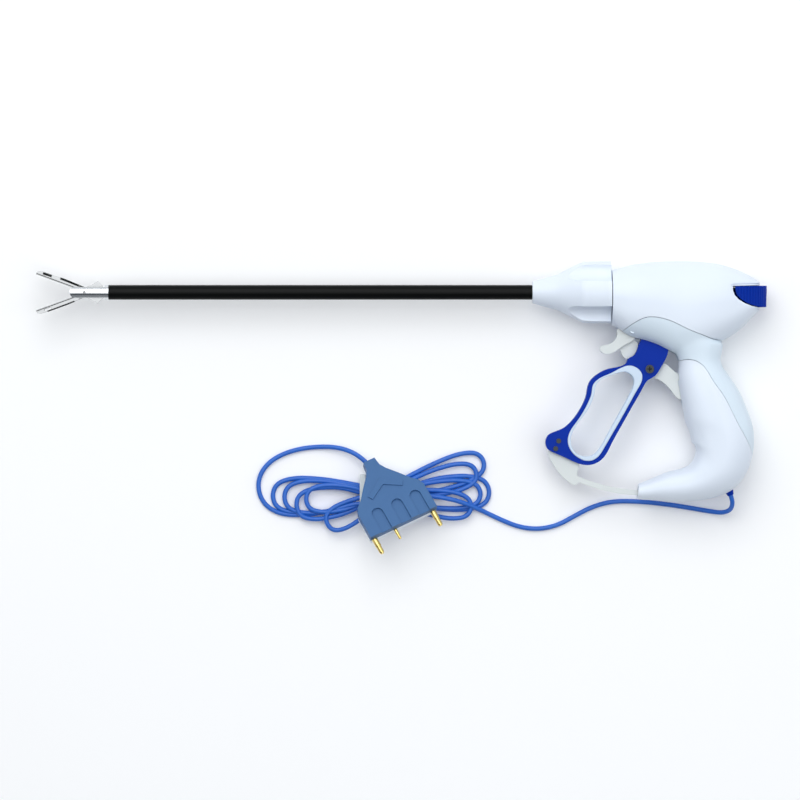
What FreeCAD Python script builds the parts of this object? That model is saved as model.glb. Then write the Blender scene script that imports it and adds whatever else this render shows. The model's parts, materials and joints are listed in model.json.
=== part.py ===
"""Vessel sealing instrument, lying on its side, with its cord and three-pin plug.

Millimetres. While the pieces are drawn, X runs along the shaft towards the grip with 0 at the
front of the housing, Y is up the pistol grip with 0 on the shaft's axis, and Z is across it with
0 on the mid-plane. At the end every piece is placed so that the instrument rests on Z = 0 with
the middle of its length and height at the origin.
"""
import FreeCAD, Part
import math
import os
from types import SimpleNamespace

from FreeCAD import Placement, Rotation, Vector

os.makedirs("parts", exist_ok=True)
doc = FreeCAD.newDocument("vessel_sealing_instrument")

# Driving dimensions, one row each: alias, value and what it is
SIZES = [
    ("sleeve_radius", 5.0, "black sleeve, outside"),
    ("sleeve_wall", 0.37, "black sleeve, wall"),
    ("sleeve_front", -342.4, "front end of the sleeve"),
    ("tube_wall", 0.6, "steel tube inside the sleeve, wall"),
    ("tube_rear", -14.0, "rear end of the steel tube in the knob"),
    ("sleeve_to_knob", 0.3, "gap between the sleeve and the knob's front face"),
    ("drive_radius", 3.4, "drive tube, outside"),
    ("drive_bore", 2.1, "drive tube, inside"),
    ("knife_rod_radius", 1.8, "knife rod"),
    ("running_gap", 0.05, "radial clearance of what turns or slides"),
    ("seat_gap", 0.03, "radial clearance of what is pressed or glued"),
    ("ring_radius", 5.0, "silver ring behind the clevis, flush with the sleeve"),
    ("ring_width", 2.6, "silver ring along the shaft"),
    ("clevis_radius", 4.8, "clevis, outside"),
    ("cheek_gap_half", 3.15, "half the gap between the clevis cheeks"),
    ("cheek_reach", 9.9, "cheek ahead of the jaw pivot"),
    ("pivot_to_ring", 13.7, "jaw pivot ahead of the clevis's solid ring"),
    ("jaw_pin_radius", 1.0, "jaw pivot pin"),
    ("cam_pin_radius", 0.8, "drive pin in the jaws' cam slots"),
    ("jaw_reach", 35.3, "jaw pivot to jaw tip"),
    ("jaw_height", 3.8, "jaw from its sealing face to its back"),
    ("jaw_half_width", 2.5, "half the jaw's width"),
    ("jaw_open", 20.0, "opening of each jaw, degrees"),
    ("tail_inner", 0.35, "jaw tail, face next to the knife"),
    ("tail_outer", 2.15, "jaw tail, face next to the yoke"),
    ("seal_thick", 0.6, "seal plate"),
    ("insulator_thick", 0.5, "insulating layer under the seal plate"),
    ("knife_half_thick", 0.25, "half the knife's thickness"),
    ("knife_groove_half", 0.45, "half the knife groove's width"),
    ("knife_groove_deep", 2.1, "knife groove below the sealing face"),
    ("cam_far", 9.5, "drive pin behind the jaw pivot, jaws open"),
    ("drive_stroke", 3.8, "travel of the drive tube"),
    ("knife_stroke", 18.0, "travel of the knife"),
    ("knob_radius", 21.0, "rotation knob at its rear"),
    ("knob_length", 53.3, "rotation knob along the shaft"),
    ("knob_gap", 0.6, "gap between knob and housing"),
    ("scoop_radius", 8.0, "finger scoops in the knob"),
    ("hub_radius", 9.0, "knob hub in the housing's front wall"),
    ("body_half_width", 21.5, "half the housing's width"),
    ("wall", 2.4, "moulded shells, wall"),
    ("parting_gap", 0.35, "groove between shells"),
    ("trigger_half", 6.0, "half the trigger's thickness"),
    ("trigger_clear", 0.6, "side clearance of trigger and slot"),
    ("trigger_x", 23.1, "trigger hinge along the shaft"),
    ("trigger_y", -22.9, "trigger hinge below the shaft's axis"),
    ("trigger_pin_radius", 2.5, "trigger hinge pin"),
    ("knife_pin_x", 14.0, "knife trigger hinge along the shaft"),
    ("knife_pin_y", -26.5, "knife trigger hinge below the shaft's axis"),
    ("knife_pin_radius", 1.5, "knife trigger hinge pin"),
    ("knife_trigger_half", 4.2, "half the knife trigger's thickness"),
    ("tab_half", 1.5, "half the lockout tab's thickness"),
    ("liner_proud", 0.5, "liner edge proud of the trigger, each side"),
    ("arm_half", 3.0, "half the latch arm's thickness"),
    ("arm_inner", 111.8, "latch arm's inner radius about the trigger hinge"),
    ("arm_deep", 3.4, "latch arm's depth"),
    ("link_half", 2.2, "half the link's thickness"),
    ("screw_x", 26.0, "trigger screw along the shaft"),
    ("screw_y", -52.2, "trigger screw below the shaft's axis"),
    ("screw_head", 2.9, "trigger screw's head, radius"),
    ("screw_shank", 1.5, "trigger screw's shank, radius"),
    ("groove_radius", 9.5, "drive spool, bottom of its groove"),
    ("flange_radius", 13.5, "drive spool, flanges"),
    ("nose_radius", 1.9, "trigger nose in the spool's groove"),
    ("button_travel", 1.2, "travel of the activation button"),
    ("button_wall", 2.2, "activation button, wall"),
    ("cord_diameter", 3.2, "cord"),
    ("plug_thick", 11.0, "plug, thickness"),
    ("plug_wide", 50.5, "plug, width at its pin end"),
    ("plug_long", 53.0, "plug, neck to pin end"),
    ("plug_pitch", 20.0, "tilt of the plug on the hank, degrees"),
    ("plug_roll", 14.0, "lean of the plug to its right side, degrees"),
    ("plug_turn", -60.0, "plug's direction seen from above, degrees"),
    ("pin_depth", 5.0, "plug's pins inside the shell"),
    ("pin_radius", 2.0, "plug's large pins"),
    ("pin_length", 12.0, "plug's large pins outside the shell"),
    ("small_pin_radius", 1.2, "plug's small pin"),
    ("small_pin_length", 8.0, "plug's small pin outside the shell"),
]
sheet = doc.addObject("Spreadsheet::Sheet", "sizes")
for row, (alias, value, note) in enumerate(SIZES, 1):
    sheet.set(f"A{row}", note)
    sheet.set(f"B{row}", str(value))
    sheet.setAlias(f"B{row}", alias)
doc.recompute()
d = SimpleNamespace(**{alias: float(getattr(sheet, alias)) for alias, _, _ in SIZES})

nodes = {}
X_AXIS = Vector(1, 0, 0)
Y_AXIS = Vector(0, 1, 0)
Z_AXIS = Vector(0, 0, 1)
FAR = 80.0


def keep(name, piece):
    """Names a finished piece: its Label is the name of its file."""
    piece.Label = name
    nodes[name] = piece
    return piece


def bind(piece, **formulas):
    """Ties properties of a piece to cells of the sheet."""
    for prop, formula in formulas.items():
        piece.setExpression(prop, formula)
    return piece


def lines(points):
    """A closed run of straight edges through points in a sketch's plane."""
    corners = [Vector(x, y, 0) for x, y in points]
    return [Part.LineSegment(a, b) for a, b in zip(corners, corners[1:] + corners[:1])]


def smooth(points):
    """One closed curve through points in a sketch's plane."""
    curve = Part.BSplineCurve()
    curve.interpolate(Points=[Vector(x, y, 0) for x, y in points], PeriodicFlag=True)
    return [curve]


def sketch_on(body, name, role, geometry, lift=0.0):
    """A sketch of the given edges on one of a body's own origin planes."""
    plane = next(item for item in body.Origin.OriginFeatures if item.Role == role)
    sketch = body.newObject("Sketcher::SketchObject", name)
    sketch.AttachmentSupport = (plane, [""])
    sketch.MapMode = "FlatFace"
    sketch.AttachmentOffset = Placement(Vector(0, 0, lift), Rotation())
    for edge in geometry:
        sketch.addGeometry(edge, False)
    return sketch


def plate(name, geometry, half, formula=None):
    """A flat piece, padded the same way to both sides of the mid-plane."""
    body = doc.addObject("PartDesign::Body", name)
    pad = body.newObject("PartDesign::Pad", name + "_pad")
    pad.Profile = sketch_on(body, name + "_outline", "XY_Plane", geometry)
    pad.SideType = "Symmetric"
    pad.Length = 2 * half
    if formula:
        bind(pad, Length=formula)
    return body


def slab(name, geometry, low, high):
    """A flat piece between two heights across the instrument."""
    body = doc.addObject("PartDesign::Body", name)
    pad = body.newObject("PartDesign::Pad", name + "_pad")
    pad.Profile = sketch_on(body, name + "_outline", "XY_Plane", geometry, low)
    pad.Length = high - low
    return body


def turned(name, points):
    """A turned piece: its outline in X and radius, revolved about the shaft's axis."""
    body = doc.addObject("PartDesign::Body", name)
    turn = body.newObject("PartDesign::Revolution", name + "_turn")
    sketch = sketch_on(body, name + "_outline", "XY_Plane", lines(points))
    turn.Profile = sketch
    turn.ReferenceAxis = (sketch, ["H_Axis"])
    turn.Angle = 360
    return body


def tube(name, start, end, outer, inner):
    return turned(name, [(start, inner), (end, inner), (end, outer), (start, outer)])


def rod(name, start, axis, length, radius, formula=None):
    """A plain cylinder from a point along an axis."""
    piece = doc.addObject("Part::Cylinder", name)
    piece.Radius = radius
    piece.Height = length
    piece.Placement = Placement(start, Rotation(Z_AXIS, axis))
    if formula:
        bind(piece, Radius=formula)
    return piece


def cross_pin(name, x, y, half, radius, formula=None):
    """A pin across the instrument, centred on the mid-plane."""
    return rod(name, Vector(x, y, -half), Z_AXIS, 2 * half, radius, formula)


def block(name, low, high):
    piece = doc.addObject("Part::Box", name)
    piece.Length, piece.Width, piece.Height = [b - a for a, b in zip(low, high)]
    piece.Placement = Placement(Vector(*low), Rotation())
    return piece


def fused(name, *pieces):
    piece = doc.addObject("Part::MultiFuse", name)
    piece.Shapes = list(pieces)
    return piece


def cut(name, base, *tools):
    """A piece less one tool or several."""
    piece = doc.addObject("Part::Cut", name)
    piece.Base = base
    piece.Tool = tools[0] if len(tools) == 1 else fused(name + "_tools", *tools)
    return piece


def common(name, first, second):
    piece = doc.addObject("Part::Common", name)
    piece.Base = first
    piece.Tool = second
    return piece


def feature(name, shape):
    piece = doc.addObject("Part::Feature", name)
    piece.Shape = shape
    return piece


def turn_by(point, angle):
    """A point of the plane turned about 0, 0."""
    c, s = math.cos(math.radians(angle)), math.sin(math.radians(angle))
    return point[0] * c - point[1] * s, point[0] * s + point[1] * c


# Shaft: sleeve over a steel tube, with the clevis in its front end
tube_radius = d.sleeve_radius - d.sleeve_wall - d.seat_gap
stem_radius = tube_radius - d.tube_wall - d.seat_gap
bore_radius = d.drive_radius + d.running_gap
ring_front = d.sleeve_front + 0.8 - d.ring_width
pivot_x = ring_front - d.pivot_to_ring
cheek_front = pivot_x - d.cheek_reach
stem_rear = d.sleeve_front + 10.0
knob_rear = 0.5 - d.knob_gap
knob_front = knob_rear - d.knob_length

keep("shaft_sleeve", tube("sleeve", ring_front + d.ring_width, knob_front - d.sleeve_to_knob,
                          d.sleeve_radius, d.sleeve_radius - d.sleeve_wall))
keep("shaft_tube", tube("steel_tube", ring_front + d.ring_width, d.tube_rear,
                        tube_radius, tube_radius - d.tube_wall))
keep("front_ring", turned("ring", [
    (ring_front, d.clevis_radius + d.seat_gap), (ring_front + d.ring_width, d.clevis_radius + d.seat_gap),
    (ring_front + d.ring_width, d.ring_radius), (ring_front + 0.4, d.ring_radius),
    (ring_front, d.ring_radius - 0.05)]))

clevis_blank = turned("clevis_blank", [
    (cheek_front, 0), (stem_rear, 0), (stem_rear, stem_radius),
    (ring_front + d.ring_width, stem_radius), (ring_front + d.ring_width, d.clevis_radius),
    (cheek_front, d.clevis_radius)])
cheek_round = d.clevis_radius - 0.6
cheek_outline = common("clevis_rounded", clevis_blank, fused(
    "clevis_reach",
    cross_pin("clevis_nose", cheek_front + cheek_round, 0, 10, cheek_round),
    block("clevis_rear", (cheek_front + cheek_round, -10, -10), (stem_rear, 10, 10))))
cheek_slot = block("clevis_slot", (cheek_front - 1, -10, -d.cheek_gap_half),
                   (ring_front + 0.1, 10, d.cheek_gap_half))
drive_bore = rod("clevis_bore", Vector(ring_front - 1.0, 0, 0), X_AXIS, 30, bore_radius)
jaw_pin_hole = cross_pin("clevis_pin_hole", pivot_x, 0, 10, d.jaw_pin_radius + d.seat_gap)
keep("clevis", cut("clevis_cut", cheek_outline, cheek_slot, drive_bore, jaw_pin_hole))
keep("jaw_pivot_pin", cross_pin("jaw_pin", pivot_x, 0, d.clevis_radius - 0.15, d.jaw_pin_radius,
                                "sizes.jaw_pin_radius"))

# Jaws: drawn closed about the pivot at 0, 0 with the tip towards -X, then opened
cam_near = d.cam_far - d.drive_stroke
tail_end = 13.0
groove_front = -d.jaw_reach + 3.3
plate_start = -6.8
CAM_STEPS = 4


def cam_slot(name, side):
    """The path of the drive pin in a jaw's tail, from jaws open to jaws closed."""
    radius = d.cam_pin_radius + 0.1
    places = []
    for step in range(CAM_STEPS + 1):
        share = step / CAM_STEPS
        place = turn_by((d.cam_far - d.drive_stroke * share, 0), side * d.jaw_open * (1 - share))
        places.append(Vector(place[0], place[1], -10))
    shapes = [Part.makeCylinder(radius, 20, place) for place in places]
    for a, b in zip(places, places[1:]):
        across = (b - a).cross(Z_AXIS).normalize() * radius
        outline = Part.makePolygon([a + across, b + across, b - across, a - across, a + across])
        shapes.append(Part.Face(outline).extrude(Vector(0, 0, 20)))
    return feature(name, shapes[0].multiFuse(shapes[1:]))


def jaw(name, side):
    """One jaw: a toothless bar with a diamond tail; side is 1 for the upper jaw."""
    back = d.jaw_height
    under = d.seal_thick + d.insulator_thick
    bar = [(-d.jaw_reach, under), (-d.jaw_reach + 0.4, under + 1.3), (-d.jaw_reach + 2.2, back - 0.5),
           (-d.jaw_reach + 5, back - 0.1), (-14, back), (-7.5, back - 0.3), (-4.8, 3.3),
           (-4.6, under), (plate_start, under)]
    body = plate(name + "_bar", lines([(x, side * y) for x, y in bar]), d.jaw_half_width,
                 "2 * sizes.jaw_half_width")
    tail = [(-7.5, 3.2), (-3.2, 3.2), (2.5, 3.3), (7.2, 4.5), (10.6, 4.5), (tail_end, 0), (10.98, -4.1),
            (5.0, -3.2), (0, -3.1), (-2.8, -1.6), (-4.0, 0.2), (plate_start, under + 0.05), (-7.5, under + 0.05)]
    low, high = sorted((side * d.tail_inner, side * d.tail_outer))
    shank = slab(name + "_shank", lines([(x, side * y) for x, y in tail]), low, high)
    groove = block(name + "_groove", (groove_front, min(0, side * d.knife_groove_deep), -d.knife_groove_half),
                   (0, max(0, side * d.knife_groove_deep), d.knife_groove_half))
    window = block(name + "_window", (-d.jaw_reach + 5.6, min(side * 1.5, side * 2.9), -10),
                   (-d.jaw_reach + 10.2, max(side * 1.5, side * 2.9), 10))
    hole = cross_pin(name + "_hole", 0, 0, 10, d.jaw_pin_radius + d.running_gap)
    knife_room = block(name + "_knife_room", (-7, -8, -d.tail_inner), (15, 8, d.tail_inner))
    whole = fused(name + "_whole", body, shank)
    return cut(name + "_cut", whole, groove, window, hole, knife_room, cam_slot(name + "_cam", side))


def jaw_layer(name, side, low, high, inset):
    """A thin layer on the sealing side of a jaw, with the knife groove cut through it."""
    front = -d.jaw_reach + inset
    outline = [(front, side * low), (plate_start, side * low), (plate_start, side * high), (front, side * high)]
    layer = plate(name + "_layer", lines(outline), d.jaw_half_width - inset)
    groove = block(name + "_groove", (groove_front, -5, -d.knife_groove_half), (0, 5, d.knife_groove_half))
    return cut(name + "_cut", layer, groove)


jaw_pieces = []
for label, side in (("upper", 1), ("lower", -1)):
    jaw_pieces += [
        (keep(label + "_jaw", jaw(label, side)), side),
        (keep(label + "_insulator", jaw_layer(
            label + "_insulator", side, d.seal_thick, d.seal_thick + d.insulator_thick, 0.25)), side),
        (keep(label + "_seal_plate", jaw_layer(label + "_seal", side, 0.05, d.seal_thick, 0.1)), side),
    ]

# Drive: a tube with a yoke of two prongs, its cross pin, and the spool that the trigger moves
prong_in = d.tail_outer + 0.1
prong_out = d.cheek_gap_half - 0.1
cam_x = pivot_x + d.cam_far
drive_front = ring_front + d.drive_stroke + 0.3
spool_rear = d.trigger_x + 6.9
groove_half = d.nose_radius + 0.3
prongs = []
for label, side in (("near", 1), ("far", -1)):
    low, high = sorted((side * prong_in, side * prong_out))
    prongs.append(block("prong_" + label, (cam_x - 1.7, -1.5, low), (drive_front + 1.0, 1.5, high)))
drive_blank = fused("drive_blank", tube("drive_barrel", drive_front, spool_rear, d.drive_radius, d.drive_bore),
                    *prongs)
keep("drive_tube", cut("drive_cut", drive_blank,
                       cross_pin("drive_pin_hole", cam_x, 0, 10, d.cam_pin_radius + d.seat_gap)))
keep("drive_pin", cross_pin("cam_pin", cam_x, 0, prong_out, d.cam_pin_radius, "sizes.cam_pin_radius"))
spool_bore = d.drive_radius + d.seat_gap
keep("drive_spool", turned("spool", [
    (d.trigger_x - groove_half - 2, spool_bore), (spool_rear, spool_bore), (spool_rear, 6.0),
    (d.trigger_x + groove_half + 2, 6.0), (d.trigger_x + groove_half + 2, d.flange_radius),
    (d.trigger_x + groove_half, d.flange_radius), (d.trigger_x + groove_half, d.groove_radius),
    (d.trigger_x - groove_half, d.groove_radius), (d.trigger_x - groove_half, d.flange_radius),
    (d.trigger_x - groove_half - 2, d.flange_radius)]))

# Knife: a blade with a long slot for the two pins, on a rod through the drive tube
blade_front = pivot_x - 4.3
slot_front = pivot_x - d.jaw_pin_radius - 0.5
blade_rear = pivot_x + tail_end + d.knife_stroke + 2.0
slider_front = spool_rear + d.knife_stroke + 4.0
blade_half = 1.9
blade_outline = [(blade_front, -0.9), (blade_front + 0.7, -1.5), (slot_front, -blade_half), (blade_rear, -blade_half),
                 (blade_rear, blade_half), (slot_front, blade_half), (blade_front - 0.1, 1.5)]
blade_slot = block("blade_slot", (slot_front, -d.jaw_pin_radius - 0.15, -1),
                   (blade_rear - 1.0, d.jaw_pin_radius + 0.15, 1))
keep("knife_blade", cut("blade_cut", plate("blade", lines(blade_outline), d.knife_half_thick,
                                           "2 * sizes.knife_half_thick"), blade_slot))
keep("knife_rod", rod("knife_push_rod", Vector(blade_rear, 0, 0), X_AXIS, slider_front + 4 - blade_rear,
                      d.knife_rod_radius, "sizes.knife_rod_radius"))
slider_bore = d.knife_rod_radius + d.seat_gap
keep("knife_slider", tube("slider", slider_front, slider_front + 4, 7.0, slider_bore))

# Rotation knob: a fluted cone that grips the steel tube, its hub held in the housing's front wall
front_wall_in = 0.5 + d.wall
knob_outline = [
    (knob_front, tube_radius + d.seat_gap), (knob_front, 7.5), (knob_front + 17.0, 12.2),
    (knob_front + 26.1, 16.8), (knob_front + 33.9, d.knob_radius - 0.4), (knob_front + 40, d.knob_radius),
    (knob_rear, d.knob_radius), (knob_rear, d.hub_radius), (front_wall_in + 0.3, d.hub_radius),
    (front_wall_in + 0.3, d.hub_radius + 2), (front_wall_in + 2.8, d.hub_radius + 2),
    (front_wall_in + 2.8, d.drive_radius + d.running_gap), (d.tube_rear, d.drive_radius + d.running_gap),
    (d.tube_rear, tube_radius + d.seat_gap)]
scoops = []
SCOOPS = 4
scoop_from = knob_front + 20
scoop_lift = 15.3 + d.scoop_radius
for index in range(SCOOPS):
    start = Vector(scoop_from, scoop_lift + 0.6, 0)
    end = Vector(knob_rear + 0.3, scoop_lift - 1.2, 0)
    spin = Rotation(X_AXIS, 49.0 + 360.0 / SCOOPS * index)
    start, end = spin.multVec(start), spin.multVec(end)
    scoops.append(rod(f"scoop_{index}", start, end - start, (end - start).Length, d.scoop_radius,
                      "sizes.scoop_radius"))
keep("rotation_knob", cut("knob_cut", turned("knob_blank", knob_outline), *scoops))

# Moulded shells: sections of the body along X, and of the pistol grip down its spine
widest = d.body_half_width
BODY = [(0.5, 15.0, -22.5, 0.94), (9, 17.4, -28.5, 0.98), (22, 19.8, -33.2, 1.0), (33, 20.8, -37.2, 1.0),
        (42, 21.1, -42.0, 1.0), (52, 21.0, -44.5, 1.0), (63, 20.5, -40.0, 0.99), (75, 18.7, -33.4, 0.95),
        (88, 14.3, -25, 0.84), (98, 8.9, -15, 0.66), (102, 6.0, -11, 0.5)]
GRIP = [(58, -25, 0, 22, 19), (59.5, -45, 0, 15, 16), (62, -56, 2, 17.3, 17), (66.5, -68, 8, 19.6, 18.5),
        (71.5, -84, 12, 21.3, 19.5), (75.5, -100, 2, 21.7, 19.5), (71, -118, -45, 20.0, 18),
        (55.5, -129.2, -80, 12.6, 15), (38, -132, -92, 9.9, 12), (18.2, -135.2, -96, 5.0, 8)]
SECTION_POINTS = 12
SQUARENESS = 2.25


def finer(rows):
    """The same rows with one more between each two, on a smooth curve through four neighbours."""
    first = [2 * a - b for a, b in zip(rows[0], rows[1])]
    last = [2 * a - b for a, b in zip(rows[-1], rows[-2])]
    spread = [first, *rows, last]
    result = [rows[0]]
    for a, b, c, e in zip(spread, spread[1:], spread[2:], spread[3:]):
        result.append([(9 * (q + r) - p - t) / 16 for p, q, r, t in zip(a, b, c, e)])
        result.append(c)
    return result


def closed_section(centre, up, out, high, wide):
    """A rounded section in the plane of two directions, a little squarer than an ellipse."""
    points = []
    for index in range(SECTION_POINTS):
        angle = 2 * math.pi * index / SECTION_POINTS
        c, s = math.cos(angle), math.sin(angle)
        rise = math.copysign(abs(s) ** (2 / SQUARENESS), s) * high
        side = math.copysign(abs(c) ** (2 / SQUARENESS), c) * wide
        points.append(centre + up * rise + out * side)
    curve = Part.BSplineCurve()
    curve.interpolate(Points=points, PeriodicFlag=True)
    return Part.Wire([curve.toShape()])


def body_form(inset):
    wires = []
    for index, (x, top, bottom, share) in enumerate(BODY):
        if index == 0:
            x += inset
        if index == len(BODY) - 1:
            x -= inset
        middle = Vector(x, (top + bottom) / 2, 0)
        wires.append(closed_section(middle, Y_AXIS, Z_AXIS, (top - bottom) / 2 - inset,
                                    widest * share - inset))
    return Part.makeLoft(wires, True, False)


def grip_form(inset, mouth):
    wires = []
    rows = finer(GRIP)
    for index, (x, y, lean, fore_aft, wide) in enumerate(rows):
        across = Vector(math.cos(math.radians(lean)), math.sin(math.radians(lean)), 0)
        if index == len(rows) - 1:
            x -= mouth
            inset = min(inset, 1.6)
        wires.append(closed_section(Vector(x, y, 0), across, Z_AXIS, fore_aft - inset,
                                    wide * widest / 21.5 - inset))
    return Part.makeLoft(wires, True, False)


def region(points, ends):
    """A thick slab bounded by one smooth curve and straight lines beyond the shells."""
    curve = Part.BSplineCurve()
    curve.interpolate([Vector(x, y, -FAR) for x, y in points])
    corners = [Vector(x, y, -FAR) for x, y in ends]
    path = [Vector(*points[-1], -FAR)] + corners + [Vector(*points[0], -FAR)]
    edges = [curve.toShape()] + [Part.LineSegment(a, b).toShape() for a, b in zip(path, path[1:])]
    return Part.Face(Part.Wire(edges)).extrude(Vector(0, 0, 2 * FAR))


def moved(shape, x, y, z=0.0):
    copy = shape.copy()
    copy.translate(Vector(x, y, z))
    return copy


def box(low, high):
    size = [b - a for a, b in zip(low, high)]
    return Part.makeBox(*size, Vector(*low))


PARTING = [(-6, -35), (5.8, -27.5), (15.6, -20.4), (23.4, -17.1), (32.5, -17.5), (41.6, -20.4),
           (50.7, -24.9), (62.4, -29.5), (70.2, -32.1), (80.6, -32.1), (100, -30)]
GRIP_EDGE = [(34, -50), (44.2, -47.6), (49.4, -46.1), (55.9, -46.6), (62.4, -50.9), (67.7, -59.4),
             (74.1, -68.4), (80.6, -80.2), (85.8, -90.6), (92.3, -102.3), (96.2, -111.4), (106, -135)]
above = region(PARTING, [(140, -30), (140, 60), (-40, 60), (-40, -35)])
below = region(GRIP_EDGE, [(106, -190), (-40, -190), (-40, -50)])

outer_form = body_form(0).fuse(grip_form(0, 0))
inner_form = body_form(d.wall).fuse(grip_form(d.wall, 2.0))
shell = outer_form.cut(inner_form)

# Button: a ribbed band that wraps round the rear end and slides forward
BUTTON_SIDE = [(83.2, 3.6), (106, 4.4), (105.3, -10), (100.8, -10), (96, -9.1), (91.4, -7.4), (87.2, -5.0),
               (84.4, -2.1), (83.3, 0.8)]
BUTTON_PLAN = [(83, 18.9), (90, 16.4), (96, 13.4), (101, 9.9), (104.4, 5.6), (105.9, 0)]
button_clear = 0.4
lip_wide = 1.9
lip_deep = 0.9
RIB_PITCH = 2.3
RIB_RADIUS = 0.55


def plan_wire(inset):
    """The button's plan, as a closed outline in X and Z at the foot of the band."""
    side = [Vector(x - (inset if index else 0), -20, z * widest / 21.5 - inset * 0.9 if index < 5 else 0)
            for index, (x, z) in enumerate(BUTTON_PLAN)]
    mirrored = [Vector(point.x, point.y, -point.z) for point in side[-2::-1]]
    curve = Part.BSplineCurve()
    curve.interpolate(side + mirrored)
    back = Part.LineSegment(mirrored[-1], side[0]).toShape()
    return Part.Wire([curve.toShape(), back]), curve


def side_prism(clearance, reach):
    """The button's side outline, widened by a clearance and run forward by its travel."""
    outline = Part.makePolygon([Vector(x, y, -FAR) for x, y in BUTTON_SIDE + BUTTON_SIDE[:1]])
    if clearance:
        outline = outline.makeOffset2D(clearance)
    prism = Part.Face(outline).extrude(Vector(0, 0, 2 * FAR))
    if reach:
        prism = prism.fuse(moved(prism, -reach, 0))
    return prism


outer_plan, plan_curve = plan_wire(0)
inner_plan, _ = plan_wire(d.button_wall)
band = Part.Face(outer_plan).extrude(Vector(0, 40, 0)).cut(Part.Face(inner_plan).extrude(Vector(0, 40, 0)))
band = band.common(side_prism(0, 0))
rib_cuts = []
for distance in [RIB_PITCH * (0.8 + step) for step in range(int(plan_curve.length() / RIB_PITCH) - 1)]:
    place = plan_curve.value(plan_curve.parameterAtDistance(distance))
    rib_cuts.append(Part.makeCylinder(RIB_RADIUS, 40, place, Y_AXIS))
band = band.cut(Part.makeCompound(rib_cuts))
stem_end = BUTTON_PLAN[-1][0] - d.button_wall
stem_front = 84.0
stem = box((stem_front, -5.5, -3), (stem_end + 0.6, 0.5, 3))
keep("activation_button", feature("button", band.fuse(stem).removeSplitter()))
window = side_prism(button_clear, d.button_travel + 0.1)
window = window.cut(box((-FAR, -FAR, -FAR), (81.0, FAR, FAR)))
lip = side_prism(lip_wide, d.button_travel).cut(body_form(lip_deep))

# Openings in the shells for what passes through them
slot_half = d.trigger_half + d.trigger_clear
trigger_slot = box((1.6, -60, -slot_half), (46, -23.5, slot_half))
link_slot = box((38, -76, -d.link_half - 0.5), (56, -43, d.link_half + 0.5))
front_bore = Part.makeCylinder(d.hub_radius + d.running_gap, 12, Vector(-4, 0, 0), X_AXIS)
hinge = Vector(d.trigger_x, d.trigger_y, 0)


def ring_sector(inner, outer, half, start, sweep):
    """Part of a flat ring about the trigger's hinge, from an angle off straight down."""
    low = hinge - Z_AXIS * half
    sector = Part.makeCylinder(outer, 2 * half, low, Z_AXIS, sweep)
    sector = sector.cut(Part.makeCylinder(inner, 2 * half, low, Z_AXIS))
    sector.rotate(hinge, Z_AXIS, -90 - start)
    return sector


arm_channel = ring_sector(d.arm_inner - 0.5, d.arm_inner + d.arm_deep + 0.5, d.arm_half + 0.5, 6, 30)
boot_place = Vector(80.2, -134.6, 0)
boot_axis = Vector(0.34, -0.94, 0)
boot_radius = 2.9
boot_hole = Part.makeCylinder(boot_radius + d.seat_gap, 12, boot_place - boot_axis * 6, boot_axis)

# Bosses inside the shells carry the two hinge pins and the switch board
boss_half = d.trigger_half + 0.3
trigger_boss = Part.makeCylinder(4.2, 2 * FAR, hinge - Z_AXIS * FAR, Z_AXIS)
knife_hinge = Vector(d.knife_pin_x, d.knife_pin_y, 0)
knife_boss = Part.makeCylinder(3.1, 2 * FAR, knife_hinge - Z_AXIS * FAR, Z_AXIS)
post_place = Vector(76, -3, 0)
board_post = Part.makeCylinder(3.0, 2 * FAR, post_place - Z_AXIS * FAR, Z_AXIS)
middle_gap = box((-20, -200, -boss_half), (140, 60, boss_half))
bosses = trigger_boss.fuse([knife_boss, board_post]).cut(middle_gap).common(outer_form)
pin_reach = 13.0
pin_holes = Part.makeCylinder(d.trigger_pin_radius + d.seat_gap, 2 * pin_reach, hinge - Z_AXIS * pin_reach).fuse(
    Part.makeCylinder(d.knife_pin_radius + d.seat_gap, 2 * pin_reach, knife_hinge - Z_AXIS * pin_reach))
whole_shell = shell.fuse(bosses).cut(
    [window, lip, trigger_slot, link_slot, front_bore, arm_channel, boot_hole, pin_holes])

housing = whole_shell.common(above)
grip = whole_shell.common(below)
frame = whole_shell.cut([moved(above, 0, -d.parting_gap), moved(below, 0, d.parting_gap)])
halves = {"near": box((-60, -200, 0), (160, 80, FAR)), "far": box((-60, -200, -FAR), (160, 80, 0))}
for label, half in halves.items():
    for part_name, shape in (("housing", housing), ("frame", frame), ("grip", grip)):
        piece = max(shape.common(half).Solids, key=lambda solid: solid.Volume)
        keep(f"{part_name}_{label}", feature(f"{part_name}_shell_{label}", piece))

keep("trigger_pin", cross_pin("trigger_hinge_pin", hinge.x, hinge.y, pin_reach, d.trigger_pin_radius,
                              "sizes.trigger_pin_radius"))
keep("knife_trigger_pin", cross_pin("knife_hinge_pin", knife_hinge.x, knife_hinge.y, pin_reach,
                                    d.knife_pin_radius, "sizes.knife_pin_radius"))
board_front = post_place.x + 3.0
board = block("board_plate", (board_front, -9, -12), (board_front + 1.6, 5, 12))
switch = block("board_switch", (board_front + 1.6, -5, -3), (stem_front - d.button_travel - 0.1, 0, 3))
keep("switch_board", fused("board", board, switch))

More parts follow.
